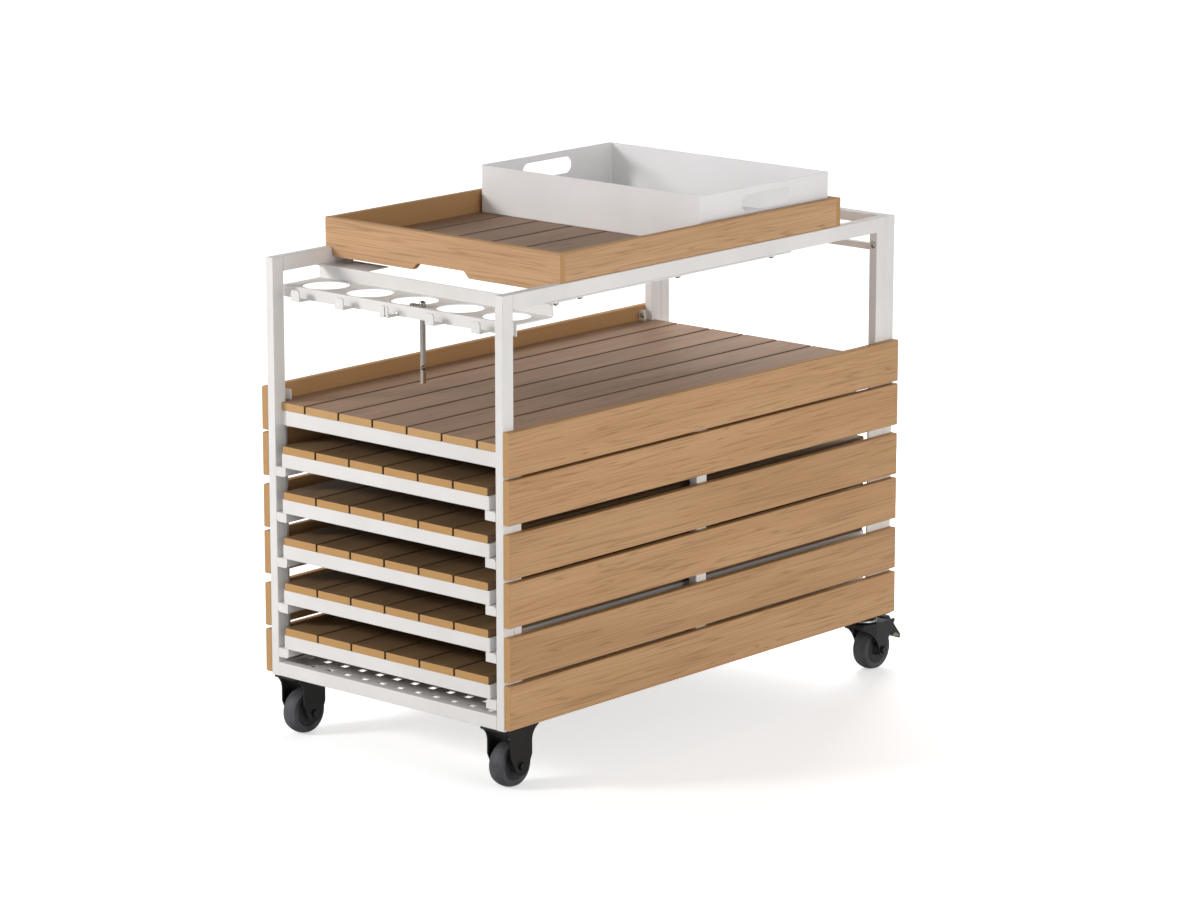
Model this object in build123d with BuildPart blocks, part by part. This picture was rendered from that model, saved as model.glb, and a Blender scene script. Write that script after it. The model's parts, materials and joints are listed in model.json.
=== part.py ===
from build123d import *
import os

os.makedirs("parts", exist_ok=True)

# Outdoor bar cart in mm. X runs along the cart to its braked end, Y across it, Z up from the floor.
# Lengths are read from the near face, the flat face at the open end, unless a note says otherwise.

# Steel frame
frame_length = 1052.4
frame_width = 566.8
rail_top = 875.0
frame_bottom = 113.0
tube_deep = 27.2
tube_thin = 18.0
tube_edge = 1.5
outer_deep = 25.6
grip_bar_deep = 15.0
grip_bar_tall = 11.5
grip_bar_top = 824.5
stile_wide = 18.0
stile_thick = 3.0
stile_above_deck = 19.0
stile_tab = 15.0
upright_from_near = 511.0

# Planks
plank_wide = 78.5
plank_thick = 14.0
plank_gap = 4.5
plank_edge = 1.2
wood_gap = 0.5

# Side cladding, gaps listed from the top plank down
side_length = 1076.0
side_gaps = (5.0, 16.5, 7.0, 17.5, 7.0)
gallery_tall = 28.4

# Deck
deck_top = 612.5
deck_inset = 17.0
deck_bearers = 2

# Pull-out shelves
shelf_count = 5
shelf_pitch = 83.4
shelf_headroom = 33.0
guide_wide = 24.5
guide_tall = 17.0
guide_round = 6.0
shelf_side_gap = 15.0
shelf_tube_thick = 18.0
shelf_tube_tall = 25.3
shelf_length = 1040.0
shelf_planks = 6
shelf_bearers = 1

# Floor of the cart: a frame with a perforated sheet let into it
floor_tube_tall = 25.0
floor_sheet_thick = 2.0
floor_sheet_drop = 6.0
floor_bearers = 3
perforation = 15.6
perforation_pitch_x = 41.0
perforation_pitch_y = 43.3
perforations_x = 25
perforations_y = 13

# Bottle holder bent from one sheet, with its strips under the rails
strip_start = 118.0
strip_end = 773.0
strip_thick = 2.5
screw_from_near = (144.0, 206.0, 466.0, 726.0)
screw_head = 12.0
screw_head_tall = 5.5
sheet_thick = 2.5
sheet_bend = 2.2
holder_front = 38.0
holder_back = 130.0
holder_top = 821.0
holder_lip_tall = 21.0
holder_side_gap = 4.0
holder_holes = 5
holder_hole = 84.5
holder_pitch = 108.2
tab_end = 192.0
tab_inner_reach = 115.0
hook_reach = 26.0
hook_wide = 20.0
hook_tall = 20.5
hook_round = 5.0
hook_offset = 6.5

# Bottle opener standing in a hole of the holder
opener_from_lip = 4.6
opener_wide = 7.0
opener_deep = 7.6
opener_tip = 687.0
opener_clearance = 0.5
opener_notch_above_tip = 28.0
opener_notch = 4.4
opener_loop_length = 34.0
opener_loop_wide = 11.0
opener_wire = 3.4
opener_edge = 0.8
opener_knob = 11.5
opener_knob_side = 7.0
opener_knob_tall = 11.5

# Wooden serving tray standing on the rails
tray_start = 149.0
tray_length = 768.0
tray_side_gap = 2.0
tray_panel = 12.0
tray_rim_tall = 53.0
tray_floor_thick = 12.0
tray_drop = 17.0
tray_rail_gap = 1.5
tray_battens_count = 3
tray_batten_wide = 40.0
tray_batten_gap = 4.0
tray_batten_thick = 12.0
grip_wide = 123.0
grip_tall = 12.0
grip_round = 6.0

# White sheet tray inside it
box_length = 364.0
box_side_gap = 4.4
box_tall = 88.7
box_wall = 1.5
box_round = 5.0
box_end_gap = 1.5
slot_length = 136.0
slot_tall = 31.0
slot_below_rim = 12.7

# Casters
wheel_radius = 41.0
tread_wide = 29.0
tread_shoulder_drop = 3.5
tyre_inner_radius = 26.0
bead_wide = 22.0
hub_rim = 3.0
hub_dish = 3.0
hub_web = 8.0
hub_flare = 2.0
sidewall_step = 2.0
hub_boss_radius = 11.0
fork_inside = 52.0
fork_sheet = 3.0
axle_diameter = 8.0
running_gap = 0.3
nut_across = 13.0
nut_tall = 4.0
plate_length = 95.0
plate_wide = 57.0
plate_thick = 4.0
plate_corner = 6.0
caster_inset = 31.4
plate_bolt_x = 67.0
plate_bolt_y = 36.0
bolt_head = 14.0
bolt_head_tall = 4.0
fixed_wheel_from_near = 47.5
fixed_cheek_wide = 53.0
fixed_cheek_top_wide = 90.0
fixed_cheek_round = 17.0
fixed_flare_drop = 26.0
cheek_shoulder = 18.0
swivel_from_far = 10.4
wheel_trail = 23.0
race_radius = 25.0
race_tall = 7.5
race_cup_radius = 22.0
race_cup_tall = 5.0
king_pin = 12.0
rivet_lip = 3.0
rivet_tall = 3.0
fork_front_reach = 30.0
fork_front_drop = 8.0
fork_crease_reach = 2.0
fork_front_inward = 6.0
fork_lip_tall = 6.0
leg_round = 12.0
leg_arch = 6.0
web_reach = 40.0
fork_back_reach = 57.0
leg_back_reach = 38.0
pedal_reach = 97.0
pedal_tip_height = 51.0
pedal_tip_thick = 7.5
pedal_hinge_reach = 49.0
pedal_hinge_below_plate = 17.0
pedal_heel_reach = 70.0
pedal_heel_height = 58.0
pedal_wide = 24.0
pedal_barrel = 6.0
pedal_pin = 5.0

# Domed bolts; the side of a head takes this share of its height
dome_side = 0.25
frame_bolt_head = 14.0
frame_bolt_tall = 4.0
tab_bolt_head = 10.0
stile_bolt_below_top = 8.0

# Shared positions
half_width = frame_width / 2
overall_length = frame_length - swivel_from_far + pedal_reach
near_face = -overall_length / 2
far_face = near_face + frame_length
rail_bottom = rail_top - tube_deep
post_line = half_width - tube_thin / 2
inner_half = half_width - tube_thin
near_post_x = near_face + tube_deep / 2
far_post_x = far_face - tube_deep / 2
deck_bottom = deck_top - plank_thick
stile_top = deck_top + stile_above_deck
stile_x = near_face + tube_deep + stile_wide / 2
far_stile_x = far_face - tube_deep - stile_wide / 2
plank_pitch = plank_wide + plank_gap


def bars(plane, length, centres, wide, tall, both=False):
    # Straight tubes of one section, rounded along their length
    with BuildSketch(plane) as section:
        with Locations(*centres):
            RectangleRounded(wide, tall, tube_edge)
    extrude(section.sketch, amount=length, both=both)


def planks(plane, length, centres, wide, tall):
    # Planks with their long edges eased
    with BuildSketch(plane) as section:
        with Locations(*centres):
            Rectangle(wide, tall)
        chamfer(section.vertices(), plank_edge)
    extrude(section.sketch, amount=length)


def domes(points, toward, diameter, tall):
    # Low domed heads of screws and bolts
    for point in points:
        section_plane = Plane(point, x_dir=(0, 1, 0), z_dir=Vector(0, 1, 0).cross(Vector(*toward)))
        with BuildSketch(section_plane) as half_head:
            with BuildLine():
                edge = Line((0, 0), (diameter / 2, 0))
                rim = Line(edge @ 1, (diameter / 2, tall * dome_side))
                crown = TangentArc((0, tall), rim @ 1, tangent=(1, 0))
                Line(crown @ 0, edge @ 0)
            make_face()
        revolve(half_head.sketch, axis=Axis(point, toward))


# Posts stand at the four corners, and the top rails join them lengthwise.
with BuildPart() as posts:
    bars(
        Plane.XY.offset(frame_bottom),
        rail_top - frame_bottom,
        [(x, side * post_line) for x in (near_post_x, far_post_x) for side in (-1, 1)],
        tube_deep,
        tube_thin,
    )
    fillet(posts.edges().filter_by(Axis.Y).group_by(Axis.Z)[-1].group_by(Axis.X)[0], tube_edge)
posts.part.label = "posts"
export_step(posts.part, "parts/posts.step")

with BuildPart() as top_rails:
    bars(
        Plane.YZ.offset(near_face + tube_deep),
        frame_length - 2 * tube_deep,
        [(side * post_line, rail_top - tube_deep / 2) for side in (-1, 1)],
        tube_thin,
        tube_deep,
    )
top_rails.part.label = "top_rails"
export_step(top_rails.part, "parts/top_rails.step")

# A second frame stands against the far posts, so the far end shows a doubled post with a fine seam.
with BuildPart() as outer_posts:
    bars(
        Plane.XY.offset(frame_bottom),
        rail_top - tube_thin - frame_bottom,
        [(far_face + outer_deep / 2, side * post_line) for side in (-1, 1)],
        outer_deep,
        tube_thin,
    )
outer_posts.part.label = "outer_posts"
export_step(outer_posts.part, "parts/outer_posts.step")

with BuildPart() as end_bars:
    bars(
        Plane.XZ,
        half_width,
        [(far_face + outer_deep / 2, rail_top - tube_thin / 2)],
        outer_deep,
        tube_thin,
        True,
    )
    bars(
        Plane.XZ,
        inner_half,
        [(far_post_x, grip_bar_top - grip_bar_tall / 2)],
        grip_bar_deep,
        grip_bar_tall,
        True,
    )
end_bars.part.label = "end_bars"
export_step(end_bars.part, "parts/end_bars.step")

# Flat stiles beside the posts and one upright in the middle of each side carry the cladding.
# The top of each stile is folded inwards just above the deck and takes a bolt.
floor_top = frame_bottom + floor_tube_tall
with BuildPart() as side_stiles:
    with BuildSketch(Plane.XY.offset(floor_top)) as flats:
        for x in (stile_x, far_stile_x):
            for side in (-1, 1):
                with Locations((x, side * (half_width - stile_thick / 2))):
                    Rectangle(stile_wide, stile_thick)
    extrude(amount=stile_top - floor_top)
    with BuildSketch(Plane.XY.offset(deck_top + wood_gap)) as tabs:
        tab_shift = (stile_wide - stile_thick) / 2
        for x in (stile_x + tab_shift, far_stile_x - tab_shift):
            for side in (-1, 1):
                with Locations((x, side * (half_width - stile_tab / 2))):
                    Rectangle(stile_thick, stile_tab)
    extrude(amount=stile_above_deck - wood_gap)
side_stiles.part.label = "side_stiles"
export_step(side_stiles.part, "parts/side_stiles.step")

with BuildPart() as mid_uprights:
    bars(
        Plane.XY.offset(floor_top),
        deck_bottom - floor_top,
        [(near_face + upright_from_near + tube_deep / 2, side * post_line) for side in (-1, 1)],
        tube_deep,
        tube_thin,
    )
mid_uprights.part.label = "mid_uprights"
export_step(mid_uprights.part, "parts/mid_uprights.step")

# Six cladding planks a side, their pitch set by the list of gaps
side_heights = [deck_top + gallery_tall - plank_wide / 2]
for gap in side_gaps:
    side_heights.append(side_heights[-1] - plank_wide - gap)

for name, side in (("side_slats_right", -1), ("side_slats_left", 1)):
    with BuildPart() as side_slats:
        planks(
            Plane.YZ.offset(near_face),
            side_length,
            [(side * (half_width + plank_thick / 2), height) for height in side_heights],
            plank_thick,
            plank_wide,
        )
    side_slats.part.label = name
    export_step(side_slats.part, f"parts/{name}.step")

# Deck frame: two end rails between the posts, two side rails between those, and bearers under the planks
deck_near = near_face + deck_inset
deck_far = far_face - deck_inset
deck_rail_z = deck_bottom - tube_deep / 2
with BuildPart() as deck_cross_rails:
    bars(
        Plane.XZ,
        inner_half,
        [(deck_near + tube_thin / 2, deck_rail_z), (deck_far - tube_thin / 2, deck_rail_z)],
        tube_thin,
        tube_deep,
        True,
    )
    for index in range(deck_bearers):
        bearer_x = deck_near + (deck_far - deck_near) * (index + 1) / (deck_bearers + 1)
        bars(Plane.XZ, inner_half - tube_thin, [(bearer_x, deck_rail_z)], tube_thin, tube_deep, True)
deck_cross_rails.part.label = "deck_cross_rails"
export_step(deck_cross_rails.part, "parts/deck_cross_rails.step")

with BuildPart() as deck_side_rails:
    bars(
        Plane.YZ.offset(deck_near + tube_thin),
        deck_far - deck_near - 2 * tube_thin,
        [(side * (inner_half - tube_thin / 2), deck_rail_z) for side in (-1, 1)],
        tube_thin,
        tube_deep,
    )
deck_side_rails.part.label = "deck_side_rails"
export_step(deck_side_rails.part, "parts/deck_side_rails.step")

# Deck planks: full ones in the middle, and edge planks cut to the frame's width
# and notched round posts and stiles
full_deck_planks = int((frame_width + plank_gap) // plank_pitch) - 1
full_deck_planks -= (full_deck_planks + 1) % 2
deck_middle = full_deck_planks * plank_pitch - plank_gap
edge_plank = half_width - deck_middle / 2 - plank_gap
with BuildPart() as deck_slats:
    planks(
        Plane.YZ.offset(deck_near),
        deck_far - deck_near,
        [
            ((index - (full_deck_planks - 1) / 2) * plank_pitch, deck_top - plank_thick / 2)
            for index in range(full_deck_planks)
        ],
        plank_wide,
        plank_thick,
    )
    planks(
        Plane.YZ.offset(deck_near),
        deck_far - deck_near,
        [(side * (half_width - edge_plank / 2), deck_top - plank_thick / 2) for side in (-1, 1)],
        edge_plank,
        plank_thick,
    )
    post_notch = tube_deep - deck_inset + wood_gap
    stile_notch = post_notch + stile_wide
    with BuildSketch(Plane.XY.offset(deck_bottom)) as notches:
        for side in (-1, 1):
            for reach, across in ((post_notch, tube_thin + wood_gap), (stile_notch, stile_thick + wood_gap)):
                with Locations(
                    (deck_near + reach / 2, side * (half_width - across / 2)),
                    (deck_far - reach / 2, side * (half_width - across / 2)),
                ):
                    Rectangle(reach, across)
    extrude(notches.sketch, amount=plank_thick, mode=Mode.SUBTRACT)
deck_slats.part.label = "deck_slats"
export_step(deck_slats.part, "parts/deck_slats.step")

# Runners on both sides carry each pull-out shelf; their upper inner edge is rounded.
guide_top = deck_bottom - tube_deep - shelf_headroom - plank_thick - shelf_tube_tall
guide_tops = [guide_top - index * shelf_pitch for index in range(shelf_count)]
with BuildPart() as shelf_guides:
    for side in (-1, 1):
        for top in guide_tops:
            with BuildSketch(Plane.YZ.offset(near_face)) as guide_section:
                with Locations((side * (inner_half - guide_wide / 2), top - guide_tall / 2)):
                    Rectangle(guide_wide, guide_tall)
                upper_corners = guide_section.vertices().group_by(Axis.Z)[-1].sort_by(Axis.Y)
                fillet(upper_corners[-1 if side < 0 else 0], guide_round)
            extrude(amount=frame_length)
shelf_guides.part.label = "shelf_guides"
export_step(shelf_guides.part, "parts/shelf_guides.step")

# Each shelf is a welded frame with planks on it, lying on its pair of runners.
shelf_half = inner_half - shelf_side_gap
for number, top in enumerate(guide_tops, 1):
    with BuildPart() as shelf_frame:
        with BuildSketch(Plane.XY.offset(top)) as outline:
            with Locations((near_face + shelf_length / 2, 0)):
                Rectangle(shelf_length, 2 * shelf_half)
        extrude(amount=shelf_tube_tall)
        fillet(shelf_frame.edges().filter_by(Axis.Z), tube_edge)
        fillet(shelf_frame.faces().sort_by(Axis.Z)[0].edges(), tube_edge)
        bay_length = (shelf_length - (shelf_bearers + 2) * shelf_tube_thick) / (shelf_bearers + 1)
        with BuildSketch(Plane.XY.offset(top)) as bays:
            with Locations((near_face + shelf_length / 2, 0)):
                with GridLocations(bay_length + shelf_tube_thick, 0, shelf_bearers + 1, 1):
                    Rectangle(bay_length, 2 * (shelf_half - shelf_tube_thick))
        extrude(amount=shelf_tube_tall, mode=Mode.SUBTRACT)
    shelf_frame.part.label = f"shelf_{number}_frame"
    export_step(shelf_frame.part, f"parts/shelf_{number}_frame.step")

    with BuildPart() as shelf_slats:
        planks(
            Plane.YZ.offset(near_face),
            shelf_length,
            [
                ((index - (shelf_planks - 1) / 2) * plank_pitch, top + shelf_tube_tall + plank_thick / 2)
                for index in range(shelf_planks)
            ],
            plank_wide,
            plank_thick,
        )
    shelf_slats.part.label = f"shelf_{number}_slats"
    export_step(shelf_slats.part, f"parts/shelf_{number}_slats.step")

# Cart floor: end rails and side rails between the posts, bearers, and the perforated sheet
sheet_top = floor_top - floor_sheet_drop
sheet_bottom = sheet_top - floor_sheet_thick
bearer_tall = sheet_bottom - frame_bottom
with BuildPart() as floor_cross_rails:
    bars(
        Plane.XZ,
        inner_half,
        [
            (x, frame_bottom + floor_tube_tall / 2)
            for x in (near_face + tube_thin / 2, far_face - tube_thin / 2)
        ],
        tube_thin,
        floor_tube_tall,
        True,
    )
    for index in range(floor_bearers):
        bearer_x = near_face + frame_length * (index + 1) / (floor_bearers + 1)
        bars(Plane.XZ, inner_half, [(bearer_x, frame_bottom + bearer_tall / 2)], tube_thin, bearer_tall, True)
floor_cross_rails.part.label = "floor_cross_rails"
export_step(floor_cross_rails.part, "parts/floor_cross_rails.step")

with BuildPart() as floor_side_rails:
    bars(
        Plane.YZ.offset(near_face + tube_deep),
        frame_length - 2 * tube_deep,
        [(side * post_line, frame_bottom + floor_tube_tall / 2) for side in (-1, 1)],
        tube_thin,
        floor_tube_tall,
    )
floor_side_rails.part.label = "floor_side_rails"
export_step(floor_side_rails.part, "parts/floor_side_rails.step")

with BuildPart() as floor_sheet:
    with BuildSketch(Plane.XY.offset(sheet_bottom)) as perforated:
        with Locations((near_face + frame_length / 2, 0)):
            Rectangle(frame_length - 2 * tube_thin, 2 * inner_half)
            with GridLocations(perforation_pitch_x, perforation_pitch_y, perforations_x, perforations_y):
                Rectangle(perforation, perforation, mode=Mode.SUBTRACT)
    extrude(amount=floor_sheet_thick)
floor_sheet.part.label = "floor_sheet"
export_step(floor_sheet.part, "parts/floor_sheet.step")

# A strip screwed under each top rail clamps the bottle holder's tabs.
strip_bottom = rail_bottom - strip_thick
with BuildPart() as rail_strips:
    with BuildSketch(Plane.XY.offset(strip_bottom)) as strips:
        with Locations((near_face + (strip_start + strip_end) / 2, 0)):
            with GridLocations(0, 2 * post_line, 1, 2):
                Rectangle(strip_end - strip_start, tube_thin)
    extrude(amount=strip_thick)
rail_strips.part.label = "rail_strips"
export_step(rail_strips.part, "parts/rail_strips.step")

with BuildPart() as strip_screws:
    for distance in screw_from_near:
        seat = strip_bottom - (sheet_thick if distance < tab_end else 0)
        domes(
            [(near_face + distance, side * post_line, seat) for side in (-1, 1)],
            (0, 0, -1),
            screw_head,
            screw_head_tall,
        )
strip_screws.part.label = "strip_screws"
export_step(strip_screws.part, "parts/strip_screws.step")

# Bottle holder: one sheet folded down into a lip, up into a flange and back into two tabs,
# with hooks off the lip
lip_x = near_face + holder_front
flange_x = near_face + holder_back
lip_bottom = holder_top - holder_lip_tall
holder_middle = (lip_x + flange_x) / 2
holder_half = half_width - holder_side_gap
hole_rows = [(index - (holder_holes - 1) / 2) * holder_pitch for index in range(holder_holes)]
opener_x = lip_x + opener_from_lip + opener_deep / 2
opener_y = (hole_rows[1] + hole_rows[2]) / 2
with BuildPart() as bottle_holder:
    with BuildSketch(Plane.XZ) as fold:
        with BuildLine():
            FilletPolyline(
                (lip_x, lip_bottom),
                (lip_x, holder_top),
                (flange_x, holder_top),
                (flange_x, strip_bottom),
                radius=sheet_bend,
            )
            offset(amount=sheet_thick, side=Side.RIGHT)
        make_face()
    extrude(amount=holder_half, both=True)
    with BuildSketch(Plane.XY.offset(strip_bottom - sheet_thick)) as tabs:
        with Locations(((flange_x + sheet_thick + near_face + tab_end) / 2, 0)):
            with GridLocations(0, holder_half + half_width - tab_inner_reach, 1, 2):
                Rectangle(tab_end - holder_back - sheet_thick, holder_half - half_width + tab_inner_reach)
    extrude(amount=sheet_thick)
    with BuildSketch(Plane.XZ) as hook:
        with BuildLine():
            FilletPolyline(
                (lip_x + sheet_thick, lip_bottom + 2 * sheet_bend + sheet_thick),
                (lip_x + sheet_thick, lip_bottom),
                (lip_x - hook_reach, lip_bottom),
                (lip_x - hook_reach, lip_bottom + hook_tall),
                radius=sheet_bend,
            )
            offset(amount=sheet_thick, side=Side.RIGHT)
        make_face()
    with Locations(*[(0, row + hook_offset, 0) for row in hole_rows]):
        add(extrude(hook.sketch, amount=hook_wide / 2, both=True, mode=Mode.PRIVATE))
    hook_tips = bottle_holder.edges().filter_by(Axis.X)
    hook_tips = hook_tips.filter_by(lambda edge: edge.center().X < lip_x - hook_reach / 2)
    fillet(hook_tips.filter_by(lambda edge: edge.center().Z > lip_bottom + hook_tall / 2), hook_round)
    with BuildSketch(Plane.XY.offset(holder_top)) as holes:
        with Locations(*[(holder_middle, row) for row in hole_rows]):
            Circle(holder_hole / 2)
        with Locations((opener_x, opener_y)):
            Rectangle(opener_deep + 2 * opener_clearance, opener_wide + 2 * opener_clearance)
    extrude(amount=-2 * sheet_thick, mode=Mode.SUBTRACT)
bottle_holder.part.label = "bottle_holder"
export_step(bottle_holder.part, "parts/bottle_holder.step")

# Bottle opener: a square shank with a claw notch hangs through the holder by its knob and loop.
with BuildPart() as opener_shank:
    with BuildSketch(Plane.XY.offset(opener_tip)) as shank:
        with Locations((opener_x, opener_y)):
            RectangleRounded(opener_deep, opener_wide, opener_clearance)
    extrude(amount=holder_top - opener_tip)
    with BuildSketch(Plane.YZ.offset(opener_x - opener_deep)) as claw:
        with Locations((opener_y - opener_wide / 2, opener_tip + opener_notch_above_tip)):
            Circle(opener_notch)
    extrude(amount=2 * opener_deep, mode=Mode.SUBTRACT)
opener_shank.part.label = "opener_shank"
export_step(opener_shank.part, "parts/opener_shank.step")

with BuildPart() as opener_head:
    with BuildSketch(Plane.XY.offset(holder_top)) as loop:
        with Locations((opener_x, opener_y + opener_loop_length / 2 - opener_loop_wide / 2)):
            SlotOverall(opener_loop_length, opener_loop_wide, rotation=90)
            SlotOverall(
                opener_loop_length - 2 * opener_wire,
                opener_loop_wide - 2 * opener_wire,
                rotation=90,
                mode=Mode.SUBTRACT,
            )
    extrude(amount=opener_wire)
    chamfer(opener_head.faces().sort_by(Axis.Z)[-1].edges(), opener_edge)
    with BuildSketch(Plane.YZ.offset(opener_x)) as knob:
        with BuildLine():
            knob_base = Line((opener_y, holder_top), (opener_y + opener_knob / 2, holder_top))
            knob_side = Line(knob_base @ 1, (opener_y + opener_knob / 2, holder_top + opener_knob_side))
            knob_peak = (opener_y, holder_top + opener_knob_tall)
            knob_crown = TangentArc(knob_peak, knob_side @ 1, tangent=(1, 0))
            Line(knob_crown @ 0, knob_base @ 0)
        make_face()
    revolve(axis=Axis((opener_x, opener_y, 0), (0, 0, 1)))
opener_head.part.label = "opener_head"
export_step(opener_head.part, "parts/opener_head.step")

# Serving tray: end panels run the full width and drop between the rails, side panels butt against them.
tray_near = near_face + tray_start
tray_far = tray_near + tray_length
tray_half = half_width - tray_side_gap
tray_inner_half = tray_half - tray_panel
with BuildPart() as tray_ends:
    with BuildSketch(Plane.YZ.offset(tray_near)) as end_panel:
        with Locations((0, rail_top + tray_rim_tall / 2)):
            Rectangle(2 * tray_half, tray_rim_tall)
        with Locations((0, rail_top - tray_drop / 2)):
            Rectangle(2 * (inner_half - tray_rail_gap), tray_drop)
        with BuildLine():
            grip_foot = rail_top - tray_drop
            FilletPolyline(
                (-grip_wide / 2 - grip_tall / 2, grip_foot),
                (-grip_wide / 2 + grip_tall / 2, grip_foot + grip_tall),
                (grip_wide / 2 - grip_tall / 2, grip_foot + grip_tall),
                (grip_wide / 2 + grip_tall / 2, grip_foot),
                radius=grip_round,
            )
            Line((grip_wide / 2 + grip_tall / 2, grip_foot), (-grip_wide / 2 - grip_tall / 2, grip_foot))
        make_face(mode=Mode.SUBTRACT)
    with Locations((0, 0, 0), (tray_length - tray_panel, 0, 0)):
        add(extrude(end_panel.sketch, amount=tray_panel, mode=Mode.PRIVATE))
    chamfer(tray_ends.edges().filter_by(Axis.Y).group_by(Axis.Z)[-1], plank_edge)
tray_ends.part.label = "tray_ends"
export_step(tray_ends.part, "parts/tray_ends.step")

with BuildPart() as tray_sides:
    with BuildSketch(Plane.YZ.offset(tray_near + tray_panel)) as side_panels:
        with Locations((0, rail_top + tray_rim_tall / 2)):
            with GridLocations(2 * tray_half - tray_panel, 0, 2, 1):
                Rectangle(tray_panel, tray_rim_tall)
        chamfer(side_panels.vertices().group_by(Axis.Z)[-1], plank_edge)
    extrude(amount=tray_length - 2 * tray_panel)
tray_sides.part.label = "tray_sides"
export_step(tray_sides.part, "parts/tray_sides.step")

# Its floor repeats the deck's plank pitch, with two narrower planks along the sides.
tray_full_planks = int((2 * tray_inner_half + plank_gap) // plank_pitch) - 1
tray_full_planks -= (tray_full_planks + 1) % 2
tray_middle = tray_full_planks * plank_pitch - plank_gap
tray_edge_plank = tray_inner_half - tray_middle / 2 - plank_gap
tray_floor_top = rail_top + tray_floor_thick
with BuildPart() as tray_floor:
    planks(
        Plane.YZ.offset(tray_near + tray_panel),
        tray_length - 2 * tray_panel,
        [
            ((index - (tray_full_planks - 1) / 2) * plank_pitch, rail_top + tray_floor_thick / 2)
            for index in range(tray_full_planks)
        ],
        plank_wide,
        tray_floor_thick,
    )
    planks(
        Plane.YZ.offset(tray_near + tray_panel),
        tray_length - 2 * tray_panel,
        [
            (side * (tray_inner_half - tray_edge_plank / 2), rail_top + tray_floor_thick / 2)
            for side in (-1, 1)
        ],
        tray_edge_plank,
        tray_floor_thick,
    )
tray_floor.part.label = "tray_floor"
export_step(tray_floor.part, "parts/tray_floor.step")

with BuildPart() as tray_battens:
    with BuildSketch(Plane.XY.offset(rail_top)) as battens:
        with Locations((tray_near + tray_length / 2, 0)):
            with GridLocations((tray_length - 2 * tray_panel) / tray_battens_count, 0, tray_battens_count, 1):
                Rectangle(tray_batten_wide, 2 * (inner_half - tray_batten_gap))
    extrude(amount=-tray_batten_thick)
tray_battens.part.label = "tray_battens"
export_step(tray_battens.part, "parts/tray_battens.step")

# White tray: a folded sheet box with a stadium hand slot in each wall across the cart
box_far = tray_far - tray_panel - box_end_gap
box_x = box_far - box_length / 2
box_width = 2 * (tray_inner_half - box_side_gap)
with BuildPart() as metal_tray:
    with BuildSketch(Plane.XY.offset(tray_floor_top)) as base:
        with Locations((box_x, 0)):
            RectangleRounded(box_length, box_width, box_round)
    extrude(amount=box_tall)
    fillet(metal_tray.faces().sort_by(Axis.Z)[0].edges(), box_round / 2)
    offset(amount=-box_wall, openings=metal_tray.faces().sort_by(Axis.Z)[-1])
    with BuildSketch(Plane.XZ) as hand_slot:
        with Locations((box_x, tray_floor_top + box_tall - slot_below_rim - slot_tall / 2)):
            SlotOverall(slot_length, slot_tall)
    extrude(amount=box_width, both=True, mode=Mode.SUBTRACT)
metal_tray.part.label = "metal_tray"
export_step(metal_tray.part, "parts/metal_tray.step")

# Casters: parts shared by the fixed and the swivelling ones
caster_line = half_width - caster_inset
plate_bottom = frame_bottom - plate_thick
fork_outside = fork_inside + 2 * fork_sheet
fixed_x = near_face + fixed_wheel_from_near
swivel_x = far_face - swivel_from_far
swivel_wheel_x = swivel_x + wheel_trail
hole_radius = axle_diameter / 2 + running_gap


def mounting_plate(x, y):
    # Rounded plate that bolts under the frame
    with BuildSketch(Plane.XY.offset(plate_bottom)) as plate:
        with Locations((x, y)):
            RectangleRounded(plate_length, plate_wide, plate_corner)
    extrude(plate.sketch, amount=plate_thick)


def cheeks(sketch, y):
    # The two side plates of a fork, from one drawing of the plate seen from the side
    for side in (-1, 1):
        with Locations((0, y + side * (fork_inside + fork_sheet) / 2, 0)):
            add(extrude(sketch, amount=fork_sheet / 2, both=True, mode=Mode.PRIVATE))


def wheel(name, x, y):
    # Moulded hub with a recessed web, and a crowned tyre round it
    with BuildPart() as hub:
        with BuildSketch(Plane.YZ.offset(x)) as hub_section:
            with BuildLine():
                boss = fork_inside / 2 - running_gap
                half = [
                    (boss, hole_radius),
                    (boss, hub_boss_radius - hub_flare),
                    (hub_web / 2, hub_boss_radius + hub_flare),
                    (hub_web / 2, tyre_inner_radius - hub_rim - hub_dish),
                    (bead_wide / 2, tyre_inner_radius - hub_rim),
                    (bead_wide / 2, tyre_inner_radius),
                ]
                outline = [(y + across, wheel_radius + up) for across, up in half]
                outline += [(y - across, wheel_radius + up) for across, up in reversed(half)]
                Polyline(*outline, close=True)
            make_face()
        revolve(axis=Axis((x, y, wheel_radius), (0, 1, 0)))
    hub.part.label = f"{name}_hub"
    export_step(hub.part, f"parts/{name}_hub.step")

    with BuildPart() as tyre:
        with BuildSketch(Plane.YZ.offset(x)) as tyre_section:
            with BuildLine():
                shoulder = 2 * wheel_radius - tread_shoulder_drop
                bead = Line(
                    (y - bead_wide / 2, wheel_radius + tyre_inner_radius),
                    (y + bead_wide / 2, wheel_radius + tyre_inner_radius),
                )
                right_wall = Polyline(
                    bead @ 1,
                    (y + tread_wide / 2, wheel_radius + tyre_inner_radius + sidewall_step),
                    (y + tread_wide / 2, shoulder),
                )
                left_wall = Polyline(
                    bead @ 0,
                    (y - tread_wide / 2, wheel_radius + tyre_inner_radius + sidewall_step),
                    (y - tread_wide / 2, shoulder),
                )
                ThreePointArc(left_wall @ 1, (y, 2 * wheel_radius), right_wall @ 1)
            make_face()
        revolve(axis=Axis((x, y, wheel_radius), (0, 1, 0)))
    tyre.part.label = f"{name}_tyre"
    export_step(tyre.part, f"parts/{name}_tyre.step")


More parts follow.
